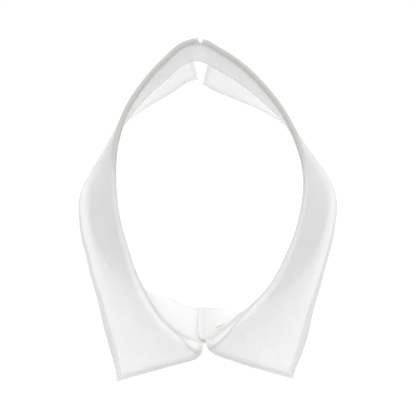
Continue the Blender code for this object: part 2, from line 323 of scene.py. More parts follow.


# %% [markdown]
# A collar's edge is made by sewing two plies face to face, turning them right side out and stitching near
# the edge. So for a few millimetres there are four layers: the strip is a little thicker and lets less light
# through, its colour is painted darker as shade, and the stitch row pulls a shallow groove along its middle,
# with painted shade along it.

# %% Say how thick the cloth is near its edges
PLY_HALF = 0.00036
TURNED_IN = 0.0027
STITCH_IN = 0.00135
TURNED_EXTRA = 0.00010
GROOVE = 0.00009
GROOVE_WIDTH = 0.00032
# The hem's painted strip, with its shade and its smaller share of light let through, is drawn wider along the sides of
# the points
STRIP_BEARINGS = (45, 90, 125, 160, 176)
HEM_STRIP_WIDTHS = (0.0027, 0.0034, 0.0066, 0.0060, 0.0034)
# How strongly the strips show, as painted shade and a smaller share of light let through, and their stitch
# rows' painted shade with them: at the back the light comes through them almost as through the rest
STRIP_SHOWS = (0.2, 0.7, 1.0, 1.0, 0.7)


def turned(edge, width=TURNED_IN):
    """1 on the strip within a width of an edge, 0 inside it, with a soft step a third of a millimetre wide."""
    return smooth_step((width - edge) / 0.00035 + 0.5)


def half_thickness(edge, stitched):
    """Half the shell's thickness: the two plies, plus the turned-in strip, less a bell-shaped groove at the
    stitch row, all under a quarter circle that rounds the edge itself. edge and stitched are distances."""
    half = PLY_HALF + TURNED_EXTRA * turned(edge) - GROOVE * np.exp(-((stitched / GROOVE_WIDTH) ** 2))
    into = np.clip(edge / half, 0.0, 1.0)
    return half * np.sqrt(1.0 - (1.0 - into) ** 2)


# %% [markdown]
# Stiff, interlined shirting bends in a few soft places. Each crease here is listed: a long bell-shaped
# trough or ridge with its own place, direction, length, width and depth. A slow unevenness of a fifth of a
# millimetre runs under them, because no ironed collar is quite true.

# %% Place the creases
CREASE_COLUMNS = ("along", "down", "turned", "length", "width", "height")
# along and down: from the centre back and from the neck seam. turned: of its length from the along
# direction, in degrees. All but turned are in millimetres.
LEAF_CREASES = {
    "leaf_right": np.array(
        [
            (168, 26, 62, 16, 3.2, -0.45),
            (158, 30, 70, 15, 3.6, 0.35),
            (146, 22, 35, 20, 4.0, -0.45),
            (128, 20, 18, 24, 4.2, 0.35),
            (118, 34, 8, 26, 4.5, -0.35),
            (96, 24, -6, 28, 5.0, 0.30),
            (78, 36, 5, 22, 4.0, -0.30),
            (52, 28, 12, 20, 4.5, 0.35),
            (28, 30, -10, 18, 4.0, -0.40),
            (12, 22, 60, 12, 4.0, 0.35),
        ]
    ),
    "leaf_left": np.array(
        [
            (171, 24, 58, 14, 3.0, -0.40),
            (160, 36, 66, 16, 3.8, 0.40),
            (150, 20, 30, 22, 4.2, -0.50),
            (132, 24, 22, 22, 4.0, 0.35),
            (112, 32, 10, 30, 5.0, -0.30),
            (90, 26, -4, 26, 4.6, 0.30),
            (70, 34, -8, 24, 4.2, -0.35),
            (46, 26, 10, 22, 4.4, 0.35),
            (24, 32, 14, 18, 4.2, -0.35),
            (10, 24, -58, 12, 3.6, 0.35),
        ]
    ),
}
STAND_CREASES = np.array(
    [
        (174.0, 2.8, 5, 6.0, 0.6, 0.45),
        (173.0, 4.0, -4, 5.5, 0.6, -0.45),
        (174.5, 5.3, 4, 6.0, 0.7, 0.40),
        (172.0, 8.0, 20, 9.0, 2.4, 0.25),
        (160.0, 12.0, 12, 12.0, 3.0, -0.25),
        (-168.0, 10.0, -14, 10.0, 2.6, 0.25),
        (-150.0, 13.0, -10, 14.0, 3.2, -0.25),
        (-30.0, 12.0, 6, 16.0, 3.4, 0.25),
        (35.0, 14.0, -6, 18.0, 3.6, -0.25),
    ]
)


def creases(table, along, down):
    """The sum over a table of creases of height times a bell shape along the crease times one across it,
    where the crease's own two directions are along and down turned by its angle."""
    rise = 0.0 * along
    for at, below, angle, length, width, height in table:
        cos, sin = np.cos(np.radians(angle)), np.sin(np.radians(angle))
        x, y = along - at / 1000, down - below / 1000
        lengthways = (cos * x + sin * y) / (length / 1000)
        across = (cos * y - sin * x) / (width / 1000)
        rise += height / 1000 * np.exp(-(lengthways**2) - across**2)
    return rise


def unevenness(along, down, seed):
    """Four long waves of a twentieth of a millimetre each, with lengths and directions drawn from a seed."""
    draw = np.random.default_rng(seed)
    rise = 0.0 * along
    for _ in range(4):
        length, angle, phase = draw.uniform(0.018, 0.045), draw.uniform(0, np.pi), draw.uniform(0, 2 * np.pi)
        rise += 0.00005 * np.sin(2 * np.pi / length * (np.cos(angle) * along + np.sin(angle) * down) + phase)
    return rise


# %% [markdown]
# The roll is pressed, and it shows as a dark line of painted shade: its colour is darker and it lets less light
# through than the flat leaf. At the back all of it is seen edge on; at the sides only a narrow part of it; and
# towards the front, where the leaf opens, the line leaves the seam and runs out to the corner of the leaf.

# %% Say where the roll's dark line of shade is painted
ROLL_SHADE_COLUMNS = ("bearing", "from", "to", "strength")
# From and to are distances from the neck seam, in millimetres
ROLL_SHADE = np.array(
    [
        (-180, 6.8, 7.8, 0.6),
        (-176, 4.5, 5.6, 0.6),
        (-173, 2.1, 3.3, 0.6),
        (-170, 0.4, 1.5, 0.6),
        (-166, 0.0, 1.0, 0.6),
        (-150, 0.0, 1.1, 0.5),
        (-120, 0.0, 1.6, 0.5),
        (-90, 0.2, 2.6, 0.5),
        (-60, 1.4, 5.4, 0.9),
        (0, 1.8, 6.6, 1.0),
        (60, 1.4, 5.4, 0.9),
        (90, 0.2, 2.6, 0.5),
        (120, 0.0, 1.6, 0.5),
        (145, 0.0, 1.1, 0.5),
        (157, 1.2, 2.1, 0.6),
        (165, 2.8, 3.7, 0.6),
        (172, 4.2, 5.0, 0.6),
        (180, 4.6, 5.3, 0.6),
    ]
)
ROLL_SHADE_EDGE = 0.0005


def roll_and_seam_shade(bearing, distance):
    """Painted shade on the roll: strength on its band and 0 off it, with soft steps half a millimetre wide."""
    start, end, strength = (np.interp(bearing, ROLL_SHADE[:, 0], ROLL_SHADE[:, k]) for k in (1, 2, 3))
    inside = np.minimum(distance - start / 1000, end / 1000 - distance)
    return strength * smooth_step(inside / ROLL_SHADE_EDGE + 0.5)


# %% [markdown]
# Each half of the leaf is one grid, with columns from the centre back to the front point and rows from
# inside the neck seam, over the roll, to the hem. The first rows go a millimetre down between the stand's
# plies, as the real leaf's allowance does.

# %% Make the two halves of the leaf
TUCKED = 0.001
ROLL_SHARES = np.linspace(0.0, 1.0, 15)


def leaf_rows(bearing, fall_shares):
    """Distances along the leaf for each bearing: the tuck, the rise, the roll by shares and the fall by shares."""
    arc, fall = (length[..., None] for length in leaf_stretches(bearing))
    tuck = np.array([-1.0, -0.6, -0.2, 0.2, 0.6]) * TUCKED + 0 * arc
    return np.concatenate([tuck, LEAF_RISE + arc * ROLL_SHARES, LEAF_RISE + arc + fall * fall_shares[1:]], -1)


def leaf_grid(front):
    """The leaf's middle points. The bearing goes by shares from the centre back's edge, which opens with the
    distance down, to the front edge, and the distance by rows from the seam to the hem."""
    side = np.sign(front)
    fall_shares = spaced(0.050, first_edge=False)
    front_row = leaf_rows(np.array([front]), fall_shares)[0]
    back_row = leaf_rows(np.array([CENTRE_BACK]), fall_shares)[0]
    back_edge = CENTRE_BACK + side * degrees_for(np.interp(back_row, BACK_GAP_AT, BACK_GAP_HALF), CENTRE_BACK)
    front_edge = front - side * degrees_for(np.interp(front_row, FRONT_GAP_AT, FRONT_GAP_HALF[int(side)]), front)

    def middle_line(bearing):
        return leaf_point(bearing, np.full_like(bearing, 0.03))

    bearing, _ = even_bearings(back_edge.mean(), front_edge[0], spaced(0.182), middle_line)
    share = ((bearing - bearing[0]) / (bearing[-1] - bearing[0]))[:, None]
    bearing = back_edge + share * (front_edge - back_edge)
    rows = np.stack([leaf_rows(bearing[:, k], fall_shares)[:, k] for k in range(bearing.shape[1])], -1)
    return leaf_point(bearing, rows), rows, bearing


leaves = {}
for name, front in (("leaf_right", -CENTRE_FRONT), ("leaf_left", CENTRE_FRONT)):
    middle, rows, bearing = leaf_grid(front)
    along, _ = along_and_down(middle)
    edges = {
        "hem": distance_to(middle, middle[::3, -1]),
        "front": distance_to(middle, middle[-1, ::2]),
        "back": distance_to(middle, middle[0, ::2]),
    }
    free = smooth_step((middle[..., 2] - 0.002) / 0.010) * smooth_step((rows - 0.006) / 0.010)
    outward = 1.0 if front > 0 else -1.0
    rise = creases(LEAF_CREASES[name], along, rows) + unevenness(along, rows, int(abs(front)) + int(front > 0))
    middle = middle + (free * rise)[..., None] * grid_normals(middle) * outward
    leaves[name] = {"middle": middle, "rows": rows, "along": along, "edges": edges, "bearing": bearing}
    print(name, middle.shape[:2], "front edge in mm:", round(1000 * rows[-1, -1], 1))

# %% [markdown]
# The stand is one grid from the outer tab on the wearer's right, round the back, to the inner tab. Its top
# edge is turned in round the leaf's allowance, so it is a little thicker there and stands just proud of the
# leaf. That lip and painted shade in the crevice at its top make the neck seam show as a fine dark line.

# %% Make the stand
LIP = 0.0003
SEAM_EXTRA = 0.00022
SEAM_TURNED = 0.0045


def stand_grid():
    """The stand's middle points. Rows go down from just above the seam, and the ends are cut back near the
    top by the square of the height into the corner."""
    down = -LIP + spaced(STAND_HEIGHT + LIP) * (STAND_HEIGHT + LIP)
    corner = TAB_CUT_BACK * np.clip(1.0 - down / TAB_CORNER, 0.0, 1.0) ** 2
    start = -CENTRE_FRONT - degrees_for(OUTER_TAB - corner, -CENTRE_FRONT)
    end = CENTRE_FRONT + degrees_for(INNER_TAB - corner, CENTRE_FRONT)

    def middle_line(bearing):
        return stand_point(bearing, np.full_like(bearing, 0.013))

    bearing, length = even_bearings(start[-1], end[-1], spaced(0.372), middle_line)
    share = ((bearing - bearing[0]) / (bearing[-1] - bearing[0]))[:, None]
    bearing = start + share * (end - start)
    return stand_point(bearing, down + 0 * bearing), down + 0 * bearing, bearing, length


stand_middle, stand_down, stand_bearing, stand_length = stand_grid()
stand_along, _ = along_and_down(stand_middle)
back_at = np.interp(CENTRE_BACK, stand_bearing[:, 5], stand_along[:, 0])
END_REACH = 0.012
stand_edges = {
    "seam": stand_down + LIP,
    "foot": STAND_HEIGHT - stand_down,
    "outer_end": distance_to(stand_middle, stand_middle[0, ::2]),
    "inner_end": distance_to(stand_middle, stand_middle[-1, ::2]),
}
# Each end also lies close over the other layer, which must not count as near to it
stand_edges["outer_end"][stand_along > END_REACH] = 1.0
stand_edges["inner_end"][stand_along < stand_along[-1, 0] - END_REACH] = 1.0
print("stand", stand_middle.shape[:2], "length in mm:", round(1000 * stand_length, 1))

# %% [markdown]
# With the grids and the distances to their edges in hand, the shells follow. Three numbers are painted on
# each as painted shade in the colour: the turned-in strips, where extra layers lie inside and let less light
# through, the stitch rows, and the roll with the seam's crevice. The cloth's material reads all three.

# %% Build the cloth shells
STAND_END_STITCH = 0.0026
# The foot's allowance shows through the leaf at the sides, as a line: it lets less light through and is painted darker
# as shade
FOOT_STRIP = 0.0018
FOOT_SHOWS_BEARINGS = (50, 75, 140, 160)
FOOT_SHOWS = (0.0, 1.0, 1.0, 0.0)


def stitch_shade_bell(stitched):
    """Painted shade along a stitch row's groove: 1 on the row, and 0 a third of a millimetre away from it."""
    return np.exp(-((stitched / 0.00028) ** 2))


def leaf_shell(name):
    """The leaf's shell, with the strip and groove along its hem, its front edge and its back edge."""
    leaf = leaves[name]
    edge = np.minimum.reduce(list(leaf["edges"].values()))
    stitched = np.abs(edge - STITCH_IN)
    hem_width, shows = (np.interp(np.abs(leaf["bearing"]), STRIP_BEARINGS, t) for t in (HEM_STRIP_WIDTHS, STRIP_SHOWS))
    # Painted shade: the colour is darker on the turned-in strips, along the stitch rows and on the roll
    strip = shows * np.maximum(turned(edge), turned(leaf["edges"]["hem"], hem_width))
    line_shade = roll_and_seam_shade(leaf["bearing"], leaf["rows"])
    painted = {"turned_in_and_shade": strip, "stitch_groove_shade": shows * stitch_shade_bell(stitched), "roll_and_seam_shade": line_shade}
    lengths = (leaf["along"], leaf["rows"])
    return make_shell(name + "_cloth", leaf["middle"], half_thickness(edge, stitched), lengths, painted)


def stand_shell():
    """The stand's shell. Its seam edge is thicker, where the allowances of stand and leaf lie together."""
    edges = stand_edges
    edge = np.minimum.reduce(list(edges.values()))
    ends = np.minimum(edges["outer_end"], edges["inner_end"])
    rows = np.minimum(np.abs(edges["seam"] - STITCH_IN - LIP), np.abs(edges["foot"] - STITCH_IN))
    stitched = np.minimum(rows, np.abs(ends - STAND_END_STITCH))
    allowance = smooth_step((SEAM_TURNED - edges["seam"]) / 0.0006 + 0.5)
    strip = np.maximum(turned(np.minimum(edges["foot"], ends - 0.0012)), allowance)
    half = half_thickness(edge, stitched) + SEAM_EXTRA * allowance * np.sqrt(1 - (1 - np.clip(edge / 0.0006, 0, 1)) ** 2)
    along = stand_along - back_at
    rise = creases(STAND_CREASES, along, stand_down) + 0.6 * unevenness(along, stand_down, 7)
    free = smooth_step(edges["seam"] / 0.003)
    middle = stand_middle + (free * rise)[..., None] * grid_normals(stand_middle)
    # Painted shade: the colour is darker in the crevice at the neck seam, on the strips at the foot and the ends, and
    # along the stitch rows
    crevice_shade = 0.5 * smooth_step((0.0006 - edges["seam"]) / 0.0003)
    foot = turned(edges["foot"], FOOT_STRIP) * np.interp(np.abs(stand_bearing), FOOT_SHOWS_BEARINGS, FOOT_SHOWS)
    painted = {"turned_in_and_shade": np.maximum(0.25 * strip, foot), "stitch_groove_shade": 0.5 * stitch_shade_bell(stitched), "roll_and_seam_shade": crevice_shade}
    return make_shell("stand_cloth", middle, half, (stand_along, stand_down), painted), middle, half


cloth = {name: leaf_shell(name) for name in leaves}
cloth["stand"], stand_middle, stand_half = stand_shell()
for name, piece in cloth.items():
    print(piece.name, "has", 2 * len(piece.data.polygons), "triangles")

# %% [markdown]
# Stitches are the smallest shapes that still show. Each is a short thread that comes up out of the cloth,
# lies along it and goes down again, so it is a tube round an arched path. Hundreds of them are worked out
# at once as one array: path by point by side. Each has six sides and a few rings, since nobody sees more.

# %% Make threads along paths
THREAD_SIDES = 6


def make_threads(name, paths, up, radii, flat=0.75):
    """Tubes round many paths, as one mesh. At each point of a path, the ring is the cosine times the sideways
    direction plus flat times the sine times the upward one, times the radius; a lid closes each end."""
    count, points = paths.shape[:2]
    tangent = np.gradient(paths, axis=1)
    tangent /= np.linalg.norm(tangent, axis=-1, keepdims=True)
    side = np.cross(tangent, up)
    side /= np.linalg.norm(side, axis=-1, keepdims=True)
    rise = np.cross(side, tangent)
    angle = 2 * np.pi * np.arange(THREAD_SIDES) / THREAD_SIDES
    ring = np.cos(angle)[:, None] * side[:, :, None] + flat * np.sin(angle)[:, None] * rise[:, :, None]
    corners = paths[:, :, None] + np.asarray(radii)[:, None, None] * ring
    number = np.arange(count * points * THREAD_SIDES).reshape(count, points, THREAD_SIDES)
    here, beside = number, np.roll(number, -1, axis=2)
    walls = np.stack([here[:, :-1], beside[:, :-1], beside[:, 1:], here[:, 1:]], -1).reshape(-1, 4)
    lids = np.concatenate([number[:, 0, ::-1], number[:, -1]])
    mesh = bpy.data.meshes.new(name)
    mesh.from_pydata(corners.reshape(-1, 3).tolist(), [], walls.tolist() + lids.tolist())
    mesh.shade_smooth()
    piece = bpy.data.objects.new(name, mesh)
    bpy.context.scene.collection.objects.link(piece)
    return piece


STITCH_PITCH = 0.0020
STITCH_LENGTH = 0.00165
STITCH_ARCH = np.array([-0.00012, 0.00004, 0.00009, 0.00009, 0.00004, -0.00012])
STITCH_RADII = np.array([0.00010, 0.00015, 0.00017, 0.00017, 0.00015, 0.00010])


def stitch_row(line, normal, lift, seed):
    """Paths of a row of stitches along a line of points on the cloth. Centres stand STITCH_PITCH apart along
    the line; each stitch is a straight length along its tangent, arched up by STITCH_ARCH along the normal.
    A seed moves each a twentieth of a millimetre sideways, as a machine's feed does."""
    step = np.linalg.norm(np.diff(line, axis=0), axis=-1)
    length = np.concatenate([[0.0], np.cumsum(step)])
    count = int(length[-1] / STITCH_PITCH)
    if count < 1:
        return np.zeros((0, 6, 3)), np.zeros((0, 1, 3))
    at = (np.arange(count) + 0.5) * length[-1] / count

    def read(values, place):
        return np.stack([np.interp(place, length, values[:, k]) for k in range(3)], -1)

    up = read(normal, at)
    up /= np.linalg.norm(up, axis=-1, keepdims=True)
    along = read(line, at + 0.0004) - read(line, at - 0.0004)
    along /= np.linalg.norm(along, axis=-1, keepdims=True)
    shake = np.random.default_rng(seed).normal(0.0, 0.00004, (count, 1, 1)) * np.cross(along, up)[:, None]
    reach = np.linspace(-0.5, 0.5, 6)[:, None] * STITCH_LENGTH * along[:, None]
    surface = read(line + normal * lift[:, None], at)[:, None]
    return surface + reach + STITCH_ARCH[:, None] * up[:, None] + shake, up[:, None]


# %% [markdown]
# A stitch row runs at an even distance inside an edge. On the grid that is a level line of the distance to
# the edge. Each column crosses the hem's level once, and each row crosses the front's and the back's once,
# so the crossing is found for all of them together by straight reading between two neighbouring points.


# %% Find where the needle went
def crossing(field, level):
    """For each row of a 2-D field that falls through level near its end, the place along the row, in points."""
    last = field.shape[1] - 1 - (field[:, ::-1] >= level).argmax(1)
    last = np.minimum(last, field.shape[1] - 2)
    pick = np.arange(len(field))
    before, after = field[pick, last], field[pick, last + 1]
    return last + (before - level) / (before - after)


def read_at(values, place):
    """The values of each row of a grid at a place between two of its points."""
    low = np.floor(place).astype(int)
    low = np.clip(low, 0, values.shape[1] - 2)
    part = (place - low).reshape(-1, *[1] * (values.ndim - 2))
    pick = np.arange(len(values))
    return values[pick, low] * (1 - part) + values[pick, low + 1] * part


def stitched_line(points, half, field, others, level, both_ways=()):
    """The line of points, normals and half thicknesses at which field is level, kept to where the other
    distances are no smaller, so that rows meet at the corners."""
    place = crossing(field, level)
    keep = np.ones(len(place), bool)
    for other in others:
        keep &= read_at(other, place) >= level
    normal = grid_normals(points)
    return read_at(points, place)[keep], read_at(normal, place)[keep], read_at(half, place)[keep]


def turned_round(grids, transpose=False, flip=False):
    """The same grids with their columns and rows exchanged, or run the other way, so that the wanted edge
    comes last in each row."""
    found = [np.swapaxes(g, 0, 1) if transpose else g for g in grids]
    return [g[:, ::-1] if flip else g for g in found]


def both_faces(lines, seed):
    """The stitches of each line, on the upper face and on the under face."""
    paths, ups = [], []
    for k, (line, normal, half) in enumerate(lines):
        for face in (1.0, -1.0):
            path, up = stitch_row(line, face * normal, half, seed + k)
            paths.append(path)
            ups.append(up)
    return np.concatenate(paths), np.concatenate(ups)


# %% Stitch the leaf and the stand
def leaf_stitches(name, seed):
    """The rows along the hem, the front edge and the back edge of one half of the leaf."""
    leaf = leaves[name]
    middle, rows, edges = leaf["middle"], leaf["rows"], leaf["edges"]
    edge = np.minimum.reduce(list(edges.values()))
    half = half_thickness(edge, np.abs(edge - STITCH_IN))
    normal = grid_normals(middle)
    lines = []
    for this, transpose, flip in (("hem", False, False), ("front", True, False), ("back", True, True)):
        rest = [edges[k] for k in edges if k != this]
        points, facing, thick, field, first, second, far = turned_round(
            [middle, normal, half, edges[this], rest[0], rest[1], rows], transpose, flip
        )
        place = crossing(field, STITCH_IN)
        keep = (read_at(first, place) >= STITCH_IN) & (read_at(second, place) >= STITCH_IN)
        keep &= read_at(far, place) > 0.0012
        lines.append((read_at(points, place)[keep], read_at(facing, place)[keep], read_at(thick, place)[keep]))
    paths, ups = both_faces(lines, seed)
    return make_threads(name + "_stitches", paths, ups, STITCH_RADII)


def stand_stitches():
    """The row round the stand: along the seam, down both ends and along the foot."""
    normal = grid_normals(stand_middle)
    seam, foot = stand_edges["seam"], stand_edges["foot"]
    ends = {"outer_end": (True, True), "inner_end": (True, False)}
    lines = []
    for field, flip in ((seam - LIP, True), (foot, False)):
        points, facing, thick, edge, outer, inner = turned_round(
            [stand_middle, normal, stand_half, field, stand_edges["outer_end"], stand_edges["inner_end"]], False, flip
        )
        place = crossing(edge, STITCH_IN)
        keep = (read_at(outer, place) >= STAND_END_STITCH) & (read_at(inner, place) >= STAND_END_STITCH)
        lines.append((read_at(points, place)[keep], read_at(facing, place)[keep], read_at(thick, place)[keep]))
    for end, (transpose, flip) in ends.items():
        points, facing, thick, edge, top, low = turned_round(
            [stand_middle, normal, stand_half, stand_edges[end], seam, foot], transpose, flip
        )
        place = crossing(edge, STAND_END_STITCH)
        keep = (read_at(top, place) >= STITCH_IN + LIP) & (read_at(low, place) >= STITCH_IN)
        lines.append((read_at(points, place)[keep], read_at(facing, place)[keep], read_at(thick, place)[keep]))
    paths, ups = both_faces(lines, 40)
    return make_threads("stand_stitches", paths, ups, STITCH_RADII)


stitches = {
    "leaf_right": leaf_stitches("leaf_right", 10),
    "leaf_left": leaf_stitches("leaf_left", 20),
    "stand": stand_stitches(),
}
for piece in stitches.values():
    print(piece.name, "has", len(piece.data.polygons), "faces")

# %% [markdown]
# The button's own solid is already right, so it stays and only gets a finish. The thread that holds it
# doesn't exist in the solids: two bars of four strands lie across the holes and go down into them, and the
# same thread comes out on the wearer's side of the inner tab as a short bar, with a yellowish painted shade.

# %% Sew on the button
BUTTON_THICKNESS = 0.0022
BUTTON_DISH_DEPTH = 0.0006
HOLE_OUT = 0.0024 / 2
WALL = 0.0010
SEAM_GAP = 0.0003


def stand_frame(bearing, down):
    """A place on the stand: its point, the direction along, the direction down and the outward normal."""
    here = stand_point(np.array([bearing]), np.array([down]))[0]
    along = stand_point(np.array([bearing + 0.2]), np.array([down]))[0] - here
    along /= np.linalg.norm(along)
    below = stand_point(np.array([bearing]), np.array([down + 0.001]))[0] - here
    below -= along * (below @ along)
    below /= np.linalg.norm(below)
    out = np.cross(along, below)
    return here, along, below, out if out[1] < 0 else -out


def strands(centre, lengthways, sideways, up, length, rise, spread, count):
    """Paths of a bar of strands: each a half circle of rise over length, set side by side over spread."""
    t = np.linspace(-1.0, 1.0, 9)
    path = centre + 0.5 * length * t[:, None] * lengthways + (rise * (1 - t**2) - 0.0)[:, None] * up
    side = np.linspace(-0.5, 0.5, count) * spread
    return path[None] + side[:, None, None] * sideways


here, along, below, out = stand_frame(BUTTON_BEARING, BUTTON_DOWN)
face = here + out * (WALL / 2 + SEAM_GAP + BUTTON_THICKNESS - BUTTON_DISH_DEPTH)
bars = []
for side in (-1, 1):
    middle = face + side * HOLE_OUT / np.sqrt(2) * below - 0.0003 * out
    bars.append(strands(middle, along, below, out, 0.0022, 0.00055, 0.0005, 4))
button_thread = make_threads("button_thread", np.concatenate(bars), out, np.full(9, 0.00013), flat=1.0)

INSIDE_BAR_AT = (173.7, 0.0072)
INSIDE_BAR_LENGTH = 0.0038
inside, inside_along, inside_below, inside_out = stand_frame(*INSIDE_BAR_AT)
bar = strands(inside - inside_out * 0.0004, inside_along, inside_below, -inside_out, INSIDE_BAR_LENGTH, 0.0003, 0.0007, 4)
inside_thread = make_threads("inside_thread", bar, -inside_out, np.full(9, 0.00018), flat=1.0)
print("button at", [round(1000 * float(x), 1) for x in face], "inside bar at", [round(1000 * float(x), 1) for x in inside])

# %% [markdown]
# The outer tab has a buttonhole: a slit with a close row of satin stitches round it. Its stitches lie across
# a long loop, so the same threads are laid square to the loop's path, side by side.

# %% Work the buttonhole
HOLE_LENGTH = 0.0118
HOLE_WIDTH = 0.0018
SATIN_PITCH = 0.00034
SATIN_LENGTH = 0.0011


def long_loop(length, width, pitch):
    """Points and outward directions round a loop of two straight sides and two half circles."""
    radius, straight = width / 2, length - width
    round_it = 2 * straight + 2 * np.pi * radius
    at = np.arange(int(round_it / pitch)) * pitch
    turn = np.clip((at - straight) / radius, 0, np.pi) + np.clip((at - 2 * straight - np.pi * radius) / radius, 0, np.pi)
    x = np.clip(at, 0, straight) - np.clip(at - straight - np.pi * radius, 0, straight) - straight / 2
    outward = np.stack([np.sin(turn), -np.cos(turn)], -1)
    return np.stack([x, 0 * x], -1) + radius * outward, outward


loop, outward = long_loop(HOLE_LENGTH, HOLE_WIDTH, SATIN_PITCH)
on_cloth = here + out * (PLY_HALF + TURNED_EXTRA)
t = np.linspace(-1.0, 1.0, 5)
centres = on_cloth + loop[:, :1] * along + loop[:, 1:] * below
square = outward[:, :1] * along + outward[:, 1:] * below
paths = centres[:, None] + 0.5 * SATIN_LENGTH * t[:, None] * square[:, None] + (0.00022 * (1 - t**2) - 0.00004)[:, None] * out
buttonhole = make_threads("buttonhole", paths, out, np.array([0.00012, 0.00018, 0.0002, 0.00018, 0.00012]), flat=0.9)
print("buttonhole has", len(loop), "stitches")

# %% [markdown]
# The finishes come next. One helper adds a node with its settings and links, and colours are written as
# sRGB hex values and turned to the linear light that the shaders use.


# %% Name the helpers for finishes
def to_linear(hex_colour):
    """An sRGB hex colour as linear light: below 0.04045 a twelfth of it, and above, a power of 2.4."""
    srgb = np.array([int(hex_colour[k : k + 2], 16) for k in (1, 3, 5)]) / 255
    linear = np.where(srgb <= 0.04045, srgb / 12.92, ((srgb + 0.055) / 1.055) ** 2.4)
    return (*linear.tolist(), 1.0)


def add_node(tree, kind, inputs=None, **settings):
    """Adds a node. inputs maps a socket's name or number to a value, or to another node's output."""
    made = tree.nodes.new(kind)
    for label, value in settings.items():
        setattr(made, label, value)
    for socket, value in (inputs or {}).items():
        if isinstance(value, bpy.types.NodeSocket):
            tree.links.new(value, made.inputs[socket])
        else:
            made.inputs[socket].default_value = value
    return made


def new_material(name):
    """An empty material and its node tree, with its output."""
    material = bpy.data.materials.new(name)
    material.use_nodes = True
    tree = material.node_tree
    tree.nodes.clear()
    return material, tree, add_node(tree, "ShaderNodeOutputMaterial")


# %% [markdown]
# White cotton poplin is a plain weave of fine yarns, bleached and pressed. To the eye it is matt and a
# little uneven: yarns thicken here and there, and light comes through it, less where more layers lie
# inside. So the finish mixes a matt Principled shader with a Translucent one, and the share of light let
# through falls over the painted turned-in strips and the roll. Shade is painted into the colour too: darker
# on those strips, along the stitch rows, on the roll and in the crevice at the neck seam. Real poplin has
# yarns about 0.25 mm apart, half the width of a dot of this picture, so the weave is drawn at 0.5 mm and low.

# %% Weave the poplin
YARN_SPACING = 0.0005
# Shares of light let through. The turned-in strips and the roll with the seam's crevice carry painted shade in the
# colour, and let less light through
SCATTERED = {"leaf": 0.28, "stand": 0.24, "turned in": 0.17, "roll_and_seam_shade": 0.10}
STRAIGHT = {"leaf": 0.33, "stand": 0.0, "turned in": 0.0, "roll_and_seam_shade": 0.0}


